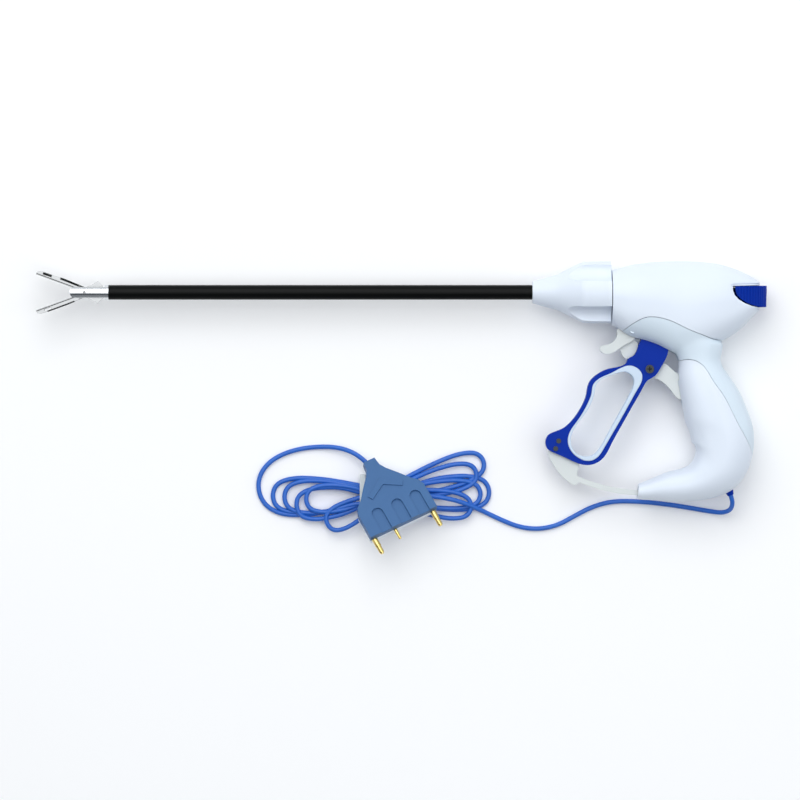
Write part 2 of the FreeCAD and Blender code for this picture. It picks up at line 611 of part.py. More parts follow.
# Trigger: a thin blue frame round the finger loop, its screw, link, arm and lockout tab
TRIGGER = [(19.9, -33.2), (17.6, -38.6), (15.8, -42.6), (11.4, -45.6), (10.9, -46.9), (-0.4, -51.6), (-9.8, -55.9),
           (-13.9, -59.6), (-16.0, -64.1), (-16.8, -68.8), (-22.3, -81.2), (-27, -87.5), (-32.4, -92.2),
           (-38.7, -94.9), (-43.2, -97.6), (-44.6, -101.8), (-43.6, -105.8), (-38.5, -109.2), (-31.7, -112.1),
           (-20.7, -116.8), (-15.6, -117.4), (-10.6, -116.2), (-5.1, -112.1), (-0.4, -103.9), (7.3, -89.9),
           (15.2, -75.8), (21.4, -64.8), (24.5, -60.1), (29.2, -57.1), (33.2, -51.8), (36.4, -46.2), (38.6, -39.9),
           (37.6, -33.4), (32.2, -24.2), (26.6, -18.2), (20.2, -18.0), (17.3, -24.2), (19.6, -29.2)]
LOOP = [(11.3, -49.8), (17.5, -51.4), (20.8, -55.5), (20.6, -60.6), (18.0, -65.7), (10.4, -79.3), (2.7, -92.9),
        (-5.3, -106.6), (-9.2, -112), (-14.5, -114.6), (-21.2, -113.2), (-27.2, -108.2), (-29.7, -101.6),
        (-28.2, -94.6), (-23.9, -88.3), (-19.2, -81.2), (-15.3, -73.5), (-13.6, -68.4), (-12.7, -63.3),
        (-8.8, -58.9), (-0.4, -54.9), (6.0, -51.5)]
LOOP_INNER = [(7.3, -54.2), (12.2, -55.2), (15.2, -59.0), (14.9, -64.0), (12, -70.3), (4.2, -84.4), (-3.5, -98.4),
              (-9, -107.6), (-13, -110.9), (-18.4, -111.5), (-23.6, -109.4), (-27.0, -104.7), (-27.2, -97.8),
              (-23.9, -90.6), (-17.6, -82.2), (-12.9, -73.4), (-11.4, -68), (-10.2, -62.8), (-6.7, -59.2),
              (-0.4, -56.5)]
LINK = [(22.3, -53.6), (22.6, -50.0), (25.6, -48.0), (31.5, -47.4), (36.2, -48.2), (40.4, -51.4), (46, -55.4),
        (53.5, -58.5), (54, -71.8), (45.4, -72.2), (41.4, -67.6), (37.3, -63.0), (33.3, -59.9), (28.4, -58.2),
        (24.4, -57.2)]
LINK_ROOM = [(21.9, -50), (24, -45.6), (42, -40), (42, -66), (26, -63.4), (21.9, -57)]
KNIFE_TRIGGER = [(3.9, -26.2), (3.2, -31.4), (-2.5, -35.6), (-7.4, -37.4), (-7.0, -40.0), (-4.6, -41.8), (2.6, -40.2),
                 (9.1, -35.8), (15.4, -32.0), (17.2, -28.2), (16.2, -24.2), (12.2, -23.5), (7.6, -24.6)]
TAB = [(5.2, -35.6), (7.6, -42.5), (10.2, -45.2), (14.4, -43.6), (17.2, -39.6), (17.9, -34.2), (14.6, -32.0),
       (9.2, -33.4)]
ARM_ROOT = [(-40.2, -98.4), (-34.2, -98.0), (-31.4, -105.4), (-26.4, -111.6), (-21.4, -116.4), (-23.0, -122.4)]
ARM_BACK = [(-24.6, -131.3), (-27.6, -129.9), (-31.0, -127.3), (-34.6, -123.7), (-38.2, -118.9), (-41.0, -114.2),
            (-43.0, -109.4), (-41.6, -104.0)]
RIVETS = [(-35.8, -101.0), (-37.8, -106.2)]

arm_outer = d.arm_inner + d.arm_deep
ARM_START, ARM_END = 22.9, -2.0


def about_hinge(radius, angle):
    """A point about the trigger's hinge, at an angle from straight down towards the front."""
    turn = math.radians(angle)
    return hinge.x - radius * math.sin(turn), hinge.y - radius * math.cos(turn)


def arc(radius, start, end):
    points = [Vector(*about_hinge(radius, angle), 0) for angle in (start, (start + end) / 2, end)]
    return Part.Arc(*points)


def open_lines(points):
    corners = [Vector(x, y, 0) for x, y in points]
    return [Part.LineSegment(a, b) for a, b in zip(corners, corners[1:])]


inner_start = about_hinge(d.arm_inner, ARM_START + 1.5)
outer_start = about_hinge(arm_outer, ARM_START)
arm_outline = (open_lines([outer_start] + ARM_BACK + ARM_ROOT + [inner_start])
               + [arc(d.arm_inner, ARM_START + 1.5, ARM_END)]
               + open_lines([about_hinge(d.arm_inner, ARM_END), about_hinge(arm_outer, ARM_END)])
               + [arc(arm_outer, ARM_END, ARM_START)])
rivet_holes = [cross_pin(f"arm_rivet_hole_{index}", x, y, 10, 1.2 + d.seat_gap)
               for index, (x, y) in enumerate(RIVETS)]
keep("latch_arm", cut("arm_cut", plate("arm", arm_outline, d.arm_half, "2 * sizes.arm_half"), *rivet_holes))

lever = plate("lever", smooth(TRIGGER), d.trigger_half, "2 * sizes.trigger_half")
nose_y = d.trigger_y + d.drive_stroke / math.sin(math.radians(d.jaw_open))
neck = block("lever_neck", (d.trigger_x - 1.2, d.trigger_y, -3.5), (d.trigger_x + 1.2, nose_y, 3.5))
nose = cross_pin("lever_nose", d.trigger_x, nose_y, 3.5, d.nose_radius, "sizes.nose_radius")
arm_pocket = feature("arm_pocket", Part.Face(Part.makePolygon(
    [Vector(x, y, -d.arm_half - 0.05) for x, y in
     [(-42.8, -102)] + ARM_ROOT[:1] + [(-39.6, -97.4), (-34.0, -97.2)] + [(x + 0.4, y + 0.4) for x, y in ARM_ROOT[2:]]
     + [(-30, -128), (-44, -112), (-42.8, -102)]])).extrude(Vector(0, 0, 2 * d.arm_half + 0.1)))
rivet_seats = [cross_pin(f"lever_rivet_hole_{index}", x, y, 20, 1.2 + d.seat_gap)
               for index, (x, y) in enumerate(RIVETS)]
keep("trigger_lever", cut(
    "lever_cut", fused("lever_blank", lever, neck, nose),
    plate("lever_loop", smooth(LOOP), d.trigger_half + 2),
    plate("lever_link_room", lines(LINK_ROOM), d.link_half + 0.4, "2 * sizes.link_half + 0.8"),
    cross_pin("lever_hinge_hole", d.trigger_x, d.trigger_y, 20, d.trigger_pin_radius + d.running_gap),
    cross_pin("lever_screw_hole", d.screw_x, d.screw_y, 20, d.screw_shank + d.seat_gap),
    arm_pocket, *rivet_seats))


def shrunk(points, gap):
    """A closed outline moved inwards by a gap, along the normal at each of its points."""
    inside = []
    for before, (x, y), after in zip(points[-1:] + points[:-1], points, points[1:] + points[:1]):
        along_x, along_y = after[0] - before[0], after[1] - before[1]
        length = math.hypot(along_x, along_y)
        inside.append((x + along_y / length * gap, y - along_x / length * gap))
    return inside


liner_half = d.trigger_half + d.liner_proud
keep("loop_liner", cut("liner_cut", plate("liner", smooth(shrunk(LOOP, 0.1)), liner_half),
                       plate("liner_hole", smooth(LOOP_INNER), liner_half + 1)))

for index, (x, y) in enumerate(RIVETS):
    shank = cross_pin(f"rivet_shank_{index}", x, y, d.trigger_half, 1.2)
    head = rod(f"rivet_head_{index}", Vector(x, y, d.trigger_half), Z_AXIS, 0.7, 1.7)
    keep(("upper_rivet", "lower_rivet")[index], fused(f"rivet_{index}", shank, head))

head = rod("screw_head_blank", Vector(d.screw_x, d.screw_y, d.trigger_half), Z_AXIS, 1.5, d.screw_head,
           "sizes.screw_head")
shank = cross_pin("screw_shank_blank", d.screw_x, d.screw_y, d.trigger_half, d.screw_shank, "sizes.screw_shank")
cross = [block(f"screw_cross_{index}", (d.screw_x - long, d.screw_y - wide, d.trigger_half + 0.5),
               (d.screw_x + long, d.screw_y + wide, d.trigger_half + 3))
         for index, (long, wide) in enumerate(((1.7, 0.35), (0.35, 1.7)))]
keep("trigger_screw", cut("screw", fused("screw_blank", head, shank), *cross))

link = plate("link_plate", smooth(LINK), d.link_half, "2 * sizes.link_half")
keep("trigger_link", cut("link", link, cross_pin("link_hole", d.screw_x, d.screw_y, 10,
                                                 d.screw_shank + d.running_gap)))
tab_room = plate("tab_room", smooth(TRIGGER), d.trigger_half + 1)
keep("lockout_tab", cut("tab", plate("tab_plate", smooth(TAB), d.tab_half, "2 * sizes.tab_half"), tab_room))

knife_lever = plate("knife_lever", smooth(KNIFE_TRIGGER), d.knife_trigger_half, "2 * sizes.knife_trigger_half")
fork_room = feature("knife_fork_room", box((-0.6, -60, -d.tab_half - 0.4), (30, -15, d.tab_half + 0.4)))
keep("knife_trigger", cut("knife_lever_cut", knife_lever, fork_room, cross_pin(
    "knife_lever_hole", knife_hinge.x, knife_hinge.y, 20, d.knife_pin_radius + d.running_gap)))

# Strain relief at the foot of the grip
cord_radius = d.cord_diameter / 2
boot_wide = Part.makeCylinder(boot_radius, 4.4, boot_place - boot_axis * 4, boot_axis)
boot_taper = Part.makeCone(boot_radius, cord_radius + 0.5, 3.2, boot_place + boot_axis * 0.4, boot_axis)
keep("cord_boot", feature("boot", boot_wide.fuse(boot_taper).removeSplitter()))

# Everything so far belongs to the instrument; its resting place comes from its own box
instrument = [piece for name, piece in nodes.items()]
for piece, side in jaw_pieces:
    piece.Placement = Placement(Vector(pivot_x, 0, 0), Rotation(Z_AXIS, -side * d.jaw_open))
doc.recompute()
bounds = Part.makeCompound([piece.Shape for piece in instrument]).optimalBoundingBox(True)
shift = Vector(-(bounds.XMin + bounds.XMax) / 2, -(bounds.YMin + bounds.YMax) / 2, -bounds.ZMin)
for piece in instrument:
    piece.Placement = Placement(shift, Rotation()).multiply(piece.Placement)

# Cord: a lead from the boot along the floor, a loose hank, and a big loop back to the plug
floor_z = cord_radius - shift.z
LEAD = [(81.9, -139.3, -0.6), (83.0, -143.6, -3.2), (82.0, -148.2, -8.2), (76.6, -150.4, -13.6),
        (67.6, -149.2, -17.4), (55.0, -147.0, -19.2), (38, -144.4, None), (20, -142.6, None), (2, -142.4, None),
        (-12, -146.2, None), (-24, -152.6, None), (-36, -159.2, None), (-49, -161.8, None), (-62, -160.2, None),
        (-74, -155.4, None), (-86.0, -149.6, None)]
LOOP_BACK = [(-216.4, -152.2, None), (-226.5, -150.8, None), (-235.5, -145.6, None), (-240.4, -136.6, None),
             (-240.3, -126.6, None), (-235.2, -117.6, None), (-225.6, -110.8, None), (-212.6, -106.6, None),
             (-198.6, -105.0, None), (-185.4, -105.6, 2.8), (-175.0, -109.2, 5.0), (-167.6, -114.6, 6.2)]


def route_points(points):
    """The route with its heights: a missing height lies on the floor, a number is above it."""
    route = []
    for x, y, z in points:
        if z is None:
            route.append(Vector(x, y, floor_z))
        elif z > 0:
            route.append(Vector(x, y, floor_z + z))
        else:
            route.append(Vector(x, y, z))
    return route


def corded(name, route):
    """A tube of the cord's radius along straight runs joined by tangent arcs."""
    edges = []
    last = route[0]
    radii = []
    for before, corner, after in zip(route, route[1:], route[2:]):
        run_in, run_out = (corner - before).Length, (after - corner).Length
        to_before = (before - corner).normalize()
        to_after = (after - corner).normalize()
        turn = math.pi - to_before.getAngle(to_after)
        setback = 0.45 * min(run_in, run_out)
        radii.append(setback / math.tan(turn / 2))
        start = corner + to_before * setback
        end = corner + to_after * setback
        inward = (to_before + to_after).normalize()
        centre_far = radii[-1] / math.cos(turn / 2)
        middle = corner + inward * (centre_far - radii[-1])
        edges.append(Part.LineSegment(last, start).toShape())
        edges.append(Part.Arc(start, middle, end).toShape())
        last = end
    edges.append(Part.LineSegment(last, route[-1]).toShape())
    spine = Part.Wire(edges)
    ring = Part.Wire([Part.Circle(route[0], route[1] - route[0], cord_radius).toShape()])
    solid = spine.makePipeShell([ring], True, False)
    share = solid.Volume / (math.pi * cord_radius ** 2 * spine.Length)
    print(name, "length", round(spine.Length, 1), "least radius", round(min(radii), 1),
          "volume over section times length", round(share, 4))
    return solid


HANK_OUTLINE = [(-232.5, -146.5), (-226.0, -155.6), (-211.0, -158.4), (-192.0, -154.4), (-172.0, -146.2),
                (-156.0, -143.4), (-138.0, -145.6), (-116.0, -151.4), (-96.0, -153.0), (-83.4, -146.6),
                (-79.8, -135.4), (-84.8, -122.2), (-97.6, -112.6), (-115.0, -113.8), (-134.0, -122.0),
                (-152.0, -130.2), (-166.0, -128.6), (-184.0, -125.2), (-205.0, -125.4), (-222.0, -128.8),
                (-231.8, -136.2)]
hank_high = 8.2
hank = slab("hank", smooth(HANK_OUTLINE), -shift.z, hank_high - shift.z)

PLUG_HALF = [(2.0, 4.2), (8.0, 5.0), (12.0, 7.4), (19.0, 13.4), (26.0, 19.0), (30.0, 23.4), (34.5, 25.2)]
plug_origin = Vector(-165.9, -114.7, 8.0 - shift.z)
plug_tilt = Rotation(Z_AXIS, d.plug_turn) * Rotation(Y_AXIS, -d.plug_pitch) * Rotation(X_AXIS, -d.plug_roll)
plug_place = Placement(shift + plug_origin, plug_tilt)


def plug_outline(inset):
    """Half outline of the plug from its neck to its pin end, mirrored into a closed one."""
    share = d.plug_wide / 50.4
    right = [(u, -(v - inset) * share) for u, v in PLUG_HALF] + [(d.plug_long, -(25.4 - inset) * share)]
    left = [(u, -v) for u, v in reversed(right)]
    return right + left


half_thick = d.plug_thick / 2
split = -1.0
cover = slab("plug_cover_blank", lines(plug_outline(0)), split, half_thick)
ARCH_WIDE = 8.0
ARCH_TOP = 35.5
ARCHES = (-13.0, 2.0, 16.0)
recesses = []
for index, v in enumerate(ARCHES):
    recess = [(ARCH_TOP + ARCH_WIDE / 2, v - ARCH_WIDE / 2), (d.plug_long + 1, v - ARCH_WIDE / 2),
              (d.plug_long + 1, v + ARCH_WIDE / 2), (ARCH_TOP + ARCH_WIDE / 2, v + ARCH_WIDE / 2)]
    recesses.append(slab(f"arch_{index}", lines(recess), half_thick - 1.6, half_thick + 1))
    recesses.append(rod(f"arch_top_{index}", Vector(ARCH_TOP + ARCH_WIDE / 2, v, half_thick - 1.6), Z_AXIS, 2.6,
                        ARCH_WIDE / 2))
chevron = [(17.5, 0), (26.0, 13.5), (29.2, 11.4), (22.4, 0), (29.2, -11.4), (26.0, -13.5)]
ridge = slab("plug_chevron", lines(chevron), half_thick - 0.5, half_thick + 0.9)
PINS = [("left_pin", -22.5, d.pin_radius, d.pin_length), ("right_pin", 22.4, d.pin_radius, d.pin_length),
        ("middle_pin", -6.6, d.small_pin_radius, d.small_pin_length)]
pin_level = -0.5
PIN_NECK = 0.75
pin_seats = [rod(f"{name}_seat", Vector(d.plug_long - d.pin_depth - 1, v, pin_level), X_AXIS, d.pin_depth + 3,
                 radius * PIN_NECK + d.seat_gap) for name, v, radius, _ in PINS]
plug_pieces = [keep("plug_cover", cut("cover_cut", fused("cover_blank", cover, ridge), *recesses, *pin_seats))]
base = slab("plug_base_blank", lines(plug_outline(0.5)), -half_thick, split)
plug_pieces.append(keep("plug_base", cut("base_cut", base, *[
    rod(f"{name}_base_seat", Vector(d.plug_long - d.pin_depth - 1, v, pin_level), X_AXIS, d.pin_depth + 3,
        radius * PIN_NECK + d.seat_gap) for name, v, radius, _ in PINS])))
for name, v, radius, length in PINS:
    start = d.plug_long - d.pin_depth
    shoulder = d.plug_long + 0.3
    end = d.plug_long + length
    outline = [(start, 0), (end, 0), (end, radius * 0.55), (end - radius * 0.6, radius * 0.85),
               (d.plug_long + length * 0.55, radius * 0.85), (d.plug_long + length * 0.5, radius),
               (shoulder, radius), (shoulder, radius * PIN_NECK), (start, radius * PIN_NECK)]
    pin = turned(name + "_turned", outline)
    plug_pieces.append(keep("plug_" + name, pin))
    pin.Placement = Placement(Vector(0, v, pin_level), Rotation())

# The tie holds the hank at its pinch, beside the plug
tie_x = -169.0
tie_long = (-150.0, -124.0)
tie_wide = 4.0
tie_thick = 0.9
tie = block("tie_band", (tie_x - tie_wide / 2, tie_long[0], -shift.z),
            (tie_x + tie_wide / 2, tie_long[1], hank_high + tie_thick - shift.z))
tie_room = slab("tie_room", smooth(HANK_OUTLINE), -shift.z - 1, hank_high - shift.z)
cord_pieces = [keep("cord_lead", feature("lead", corded("cord_lead", route_points(LEAD)))),
               keep("cord_hank", hank),
               keep("cord_loop", feature("loop", corded("cord_loop", route_points(LOOP_BACK)))),
               keep("hank_tie", cut("tie", tie, tie_room))]
for piece in cord_pieces:
    piece.Placement = Placement(shift, Rotation())
for piece in plug_pieces:
    piece.Placement = plug_place.multiply(piece.Placement)

doc.recompute()
for item in doc.Objects:
    if "Invalid" in item.State or "Error" in item.State:
        raise RuntimeError(f"{item.Name} failed: {item.State}")
for name, piece in nodes.items():
    if piece.Shape.isNull() or not piece.Shape.isValid():
        raise RuntimeError(f"{name} has no valid shape")
    print(name, len(piece.Shape.Solids), round(piece.Shape.Volume, 1))
for name, piece in nodes.items():
    piece.Shape.exportStep(f"parts/{name}.step")
print("shift", [round(value, 3) for value in shift])
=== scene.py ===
"""A vessel sealing instrument that lies on its side on a pale floor, with its cord and plug."""
import json
import math

import bmesh
import bpy
import numpy as np
from mathutils import Matrix, Vector


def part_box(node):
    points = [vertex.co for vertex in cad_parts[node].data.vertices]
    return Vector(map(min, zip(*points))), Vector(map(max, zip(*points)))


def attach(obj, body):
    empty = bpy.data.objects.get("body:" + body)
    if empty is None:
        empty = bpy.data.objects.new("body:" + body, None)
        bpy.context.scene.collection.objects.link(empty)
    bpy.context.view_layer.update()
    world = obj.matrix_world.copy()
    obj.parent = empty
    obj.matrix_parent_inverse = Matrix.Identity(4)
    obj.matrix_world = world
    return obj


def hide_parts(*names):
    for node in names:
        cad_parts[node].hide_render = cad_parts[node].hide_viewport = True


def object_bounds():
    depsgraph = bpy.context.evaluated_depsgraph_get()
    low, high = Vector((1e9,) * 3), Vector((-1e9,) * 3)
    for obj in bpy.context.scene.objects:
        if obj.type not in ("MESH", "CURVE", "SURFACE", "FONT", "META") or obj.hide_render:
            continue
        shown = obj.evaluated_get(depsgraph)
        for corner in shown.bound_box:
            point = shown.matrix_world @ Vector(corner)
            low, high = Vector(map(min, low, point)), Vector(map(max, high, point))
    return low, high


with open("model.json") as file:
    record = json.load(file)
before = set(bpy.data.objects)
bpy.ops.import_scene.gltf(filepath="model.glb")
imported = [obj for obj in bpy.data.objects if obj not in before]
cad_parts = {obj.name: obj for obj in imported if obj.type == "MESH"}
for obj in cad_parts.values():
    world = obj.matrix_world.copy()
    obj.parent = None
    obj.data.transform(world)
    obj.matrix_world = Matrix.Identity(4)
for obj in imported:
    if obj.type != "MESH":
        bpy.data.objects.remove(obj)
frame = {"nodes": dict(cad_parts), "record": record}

cad_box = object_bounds()

# Floor, lights and camera
# The instrument lies on a pale sweep of card under three large soft boxes, in a pale room that is
# dark on the side of the grip's foot. The camera hangs straight above the middle of the picture.
MM = 0.001
PIXEL = 0.68 * MM
PICTURE = 800 * PIXEL
CAMERA_HIGH = 3.0
MIDDLE_HIGH = (cad_box[0][2] + cad_box[1][2]) / 2
SENSOR = 36.0
FLOOR_HALF = 6
AXIS_PIXEL = 292.35
FRONT_PIXEL = 611.0
shaft_low, shaft_high = (Vector(corner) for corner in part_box("shaft_sleeve"))
shaft_y = (shaft_low.y + shaft_high.y) / 2
shaft_z = (shaft_low.z + shaft_high.z) / 2
front_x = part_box("housing_near")[0][0] - 0.5 * MM


def photo_point(column, row, height=shaft_z):
    """The place at a height that a pixel of the photograph shows."""
    return Vector((front_x + (column - FRONT_PIXEL) * PIXEL, shaft_y + (AXIS_PIXEL - row) * PIXEL, height))


centre = photo_point(400, 400)
camera = bpy.data.objects.new("camera", bpy.data.cameras.new("camera"))
bpy.context.scene.collection.objects.link(camera)
camera.location = (centre.x, centre.y, CAMERA_HIGH)
camera.data.sensor_width = SENSOR
camera.data.lens = SENSOR * (CAMERA_HIGH - MIDDLE_HIGH) / PICTURE
camera.data.clip_end = 20
bpy.context.scene.camera = camera

floor_mesh = bpy.data.meshes.new("floor")
floor_mesh.from_pydata([(x * FLOOR_HALF, y * FLOOR_HALF, 0) for x, y in ((-1, -1), (1, -1), (1, 1), (-1, 1))],
                       [], [(0, 1, 2, 3)])
floor = bpy.data.objects.new("floor", floor_mesh)
bpy.context.scene.collection.objects.link(floor)


class Tone:
    """A value or colour in a material's nodes. Sums and products of tones add Math nodes."""

    def __init__(self, tree, socket):
        self.tree = tree
        self.socket = socket

    def node(self, kind, settings, inputs, output=0):
        """A new node: its settings first, then the values or tones of its sockets."""
        made = self.tree.nodes.new(kind)
        for name, value in settings.items():
            setattr(made, name, value)
        for name, value in inputs.items():
            if isinstance(value, Tone):
                self.tree.links.new(value.socket, made.inputs[name])
            else:
                made.inputs[name].default_value = value
        return Tone(self.tree, made.outputs[output])

    def maths(self, operation, first, second=0.0):
        return self.node("ShaderNodeMath", {"operation": operation}, {0: first, 1: second})

    def __add__(self, other):
        return self.maths("ADD", self, other)

    def __sub__(self, other):
        return self.maths("SUBTRACT", self, other)

    def __rsub__(self, other):
        return self.maths("SUBTRACT", other, self)

    def __mul__(self, other):
        return self.maths("MULTIPLY", self, other)

    __radd__ = __add__
    __rmul__ = __mul__

    def noise(self, scale, detail=2.0, stretch=(1, 1, 1)):
        """Cloudy noise from 0 to 1 on this vector, finer along the axes with more stretch."""
        vector = self.node("ShaderNodeMapping", {}, {"Vector": self, "Scale": stretch})
        return vector.node("ShaderNodeTexNoise", {}, {"Vector": vector, "Scale": scale, "Detail": detail})

    def blend(self, low, high):
        """The colour that lies this far from low to high."""
        return self.node("ShaderNodeMix", {"data_type": "RGBA"}, {0: self, 6: low, 7: high}, 2)

    def bump(self, strength, distance):
        """A normal that follows this height."""
        return self.node("ShaderNodeBump", {}, {"Height": self, "Strength": strength, "Distance": distance})


def new_finish(name, **plain):
    """A new material: its shader with plain values set, and the tone of its Object coordinates."""
    material = bpy.data.materials.new(name)
    material.use_nodes = True
    tree = material.node_tree
    shader = tree.nodes["Principled BSDF"]
    for socket, value in plain.items():
        shader.inputs[socket.replace("_", " ")].default_value = value
    place = tree.nodes.new("ShaderNodeTexCoord")
    return material, shader, Tone(tree, place.outputs["Object"])


def feed(shader, socket, tone):
    tone.tree.links.new(tone.socket, shader.inputs[socket])


card, card_shader, card_place = new_finish("card", Roughness=0.85)
feed(card_shader, "Base Color", card_place.noise(3.0).blend((0.965, 0.97, 0.975, 1), (0.975, 0.98, 0.985, 1)))
floor_mesh.materials.append(card)


def soft_box(name, place, aim, size, power, tint):
    """A square area light turned to shine from its place to its aim."""
    lamp = bpy.data.lights.new(name, "AREA")
    lamp.size = size
    lamp.energy = power
    lamp.color = tint
    box = bpy.data.objects.new(name, lamp)
    bpy.context.scene.collection.objects.link(box)
    box.location = place
    box.rotation_euler = (Vector(aim) - Vector(place)).to_track_quat("-Z", "Y").to_euler()


soft_box("key_light", (-0.3, 1.0, 1.6), (0.05, -0.02, 0), size=1.5, power=16, tint=(1.0, 0.995, 0.99))
soft_box("fill_light", (0.8, -0.3, 1.7), (0.0, 0.0, 0), size=1.4, power=7, tint=(0.96, 0.98, 1.0))
soft_box("top_light", (0.0, 0.1, 3.6), (0.0, 0.0, 0), size=2.0, power=14, tint=(1.0, 1.0, 1.0))
world = bpy.data.worlds.new("room")
world.use_nodes = True
sky = world.node_tree.nodes["Background"]
way = Tone(world.node_tree, world.node_tree.nodes.new("ShaderNodeTexCoord").outputs["Generated"])
across = way.node("ShaderNodeSeparateXYZ", {}, {"Vector": way}, 1)
ROOM_FADE = (-0.48, -0.12)
WALL_FADE = (-0.58, -0.78)
WALL_SHARE = 0.34
ROOM_DARK = (0.05, 0.06, 0.07, 1)
ROOM_PALE = (0.93, 0.96, 1.0, 1)
ROOM_POWER = 0.70
room_share = across.node("ShaderNodeMapRange", {"interpolation_type": "SMOOTHSTEP"},
                         {"Value": across, "From Min": ROOM_FADE[0], "From Max": ROOM_FADE[1]})
wall_share = across.node("ShaderNodeMapRange", {"interpolation_type": "SMOOTHSTEP"},
                         {"Value": across, "From Min": WALL_FADE[0], "From Max": WALL_FADE[1],
                          "To Max": WALL_SHARE})
room_colour = (room_share + wall_share).blend(ROOM_DARK, ROOM_PALE)
world.node_tree.links.new(room_colour.socket, sky.inputs["Color"])
sky.inputs["Strength"].default_value = ROOM_POWER
bpy.context.scene.world = world
bpy.context.scene.view_settings.view_transform = "Standard"

# Cord
# A limp 3.2 mm lead in a smooth blue jacket. It leaves the boot at the foot of the grip, falls to
# the floor, runs to the hank, makes its loose turns there and comes back in one big loop.
CORD_WIDE = 3.2 * MM
CORD_RADIUS = CORD_WIDE / 2
LEAD = [(76.9, -125.5, 0.0), (80.0, -133.9, 0.0), (81.9, -139.3, -0.6), (83.0, -143.6, -3.2),
        (82.0, -148.2, -8.2), (76.6, -150.4, -13.6), (67.6, -149.2, -17.4), (55.0, -147.0, -19.2),
        (38, -144.4, None), (20, -142.6, None), (2, -142.4, None), (-12, -146.2, None), (-24, -152.6, None),
        (-36, -159.2, None), (-49, -161.8, None), (-62, -160.2, None), (-74, -155.4, None),
        (-86.0, -149.6, None), (-99, -143.6, 6.2), (-114, -139.6, 7.8), (-130, -138.2, 7.4),
        (-143, -138.2, 6.4)]
LOOP_BACK = [(-170, -142.6, 6.0), (-186, -147.6, 4.6), (-202, -151.2, 1.6), (-216.4, -152.2, None),
             (-226.5, -150.8, None), (-235.5, -145.6, None), (-240.4, -136.6, None), (-240.3, -126.6, None),
             (-235.2, -117.6, None), (-225.6, -110.8, None), (-212.6, -106.6, None), (-198.6, -105.0, None),
             (-185.4, -105.6, 2.8), (-175.0, -109.2, 5.0), (-167.6, -114.6, 6.2), (-163.8, -118.8, 7.6)]
PINCH = (-155.0, -138.6)
PINCH_SWAY = 1.5
PINCH_SPREAD = 3.4
PINCH_STEP = 2.4
PINCH_BASE = 0.6
PINCH_RISE = 0.62
LOBE_STEPS = (24, 46, 62, 76, 90, 104, 118, 134, 156)
LOBE_BLUNT = 0.75
LOBE_CROWN = 1.4
LOBES = [(76, 180, 12.5, 0.0), (73, 19, 10.5, 0.6), (68, 181, 11.5, 1.4), (66, 14, 9.5, 2.0),
         (60, 187, 11.0, 2.8), (73, 2, 12.0, 0.0), (53, 183, 9.5, 3.9), (67, 1, 10.0, 1.6),
         (43, 207, 8.5, 4.6), (61, -8, 9.5, 3.0)]


def route_places(points):
    """The route in the frame: a missing height is the floor, one above 0 is added to it."""
    places = []
    for x, y, z in points:
        if z is None:
            height = CORD_RADIUS
        elif z > 0:
            height = CORD_RADIUS + z * MM
        else:
            height = shaft_z + z * MM
        places.append(Vector((front_x + x * MM, shaft_y + y * MM, height)))
    return places


def hank_place(x, y, z):
    """A place in the hank, its height counted from a cord that lies on the floor."""
    return Vector((front_x + x * MM, shaft_y + y * MM, CORD_RADIUS + z * MM))


def lobe_places(reach, heading, wide, lift):
    """One lobe of the hank: out from the pinch, round a blunt end and back.

    Along its heading a point is reach times the sine of its step, and across it is wide times the
    sine of twice the step, to a power that blunts the end. Its height is its lift, and a crown
    times the squared cosine of its step.
    """
    step = np.radians(LOBE_STEPS)
    along = reach * np.sin(step)
    double = np.sin(2 * step)
    across = wide * np.sign(double) * np.abs(double) ** LOBE_BLUNT
    c = math.cos(math.radians(heading))
    s = math.sin(math.radians(heading))
    x = PINCH[0] + along * c - across * s
    y = PINCH[1] + along * s + across * c
    z = lift + LOBE_CROWN * np.cos(step) ** 2
    return [hank_place(*place) for place in zip(x, y, z)]


turns = []
for index, lobe in enumerate(LOBES):
    turns += lobe_places(*lobe)
    turns.append(hank_place(PINCH[0] + PINCH_SWAY * math.sin(index),
                            PINCH[1] + PINCH_SPREAD * math.cos(index * PINCH_STEP),
                            PINCH_BASE + PINCH_RISE * index))
cord_places = route_places(LEAD) + turns[:-1] + route_places(LOOP_BACK)
cord_curve = bpy.data.curves.new("cord", "CURVE")
cord_curve.dimensions = "3D"
cord_curve.bevel_depth = CORD_RADIUS
cord_curve.bevel_resolution = 5
cord_curve.resolution_u = 6
cord_curve.use_fill_caps = True
spline = cord_curve.splines.new("NURBS")
spline.points.add(len(cord_places) - 1)
spline.points.foreach_set("co", [value for place in cord_places for value in (*place, 1.0)])
spline.order_u = 3
spline.use_endpoint_u = True
cord = bpy.data.objects.new("cord", cord_curve)
bpy.context.scene.collection.objects.link(cord)
jacket, jacket_shader, jacket_place = new_finish("cord_jacket", Roughness=0.38, Specular_IOR_Level=0.45)
jacket_cloud = jacket_place.noise(60.0, detail=3.0)
feed(jacket_shader, "Base Color", jacket_cloud.blend((0.012, 0.10, 0.48, 1), (0.022, 0.15, 0.60, 1)))
feed(jacket_shader, "Normal", jacket_place.noise(900.0).bump(0.12, distance=0.2 * MM))
cord_curve.materials.append(jacket)
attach(cord, "root")
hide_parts("cord_lead", "cord_hank", "cord_loop")

# Moulded shells
# The housing, the frame under it and the grip panel are satin mouldings, two halves of each, with
# a fine groove between them. White halves are a little blue, the frame is grey-blue.
DOUBLES = 2e-6
FLAT_ANGLE = math.radians(0.5)
MOULD_SWAY = 0.06
MOULD_GRAIN = 2600.0
body_of = {node: body for body, nodes in frame["record"]["behaviour"]["bodies"].items() for node in nodes}


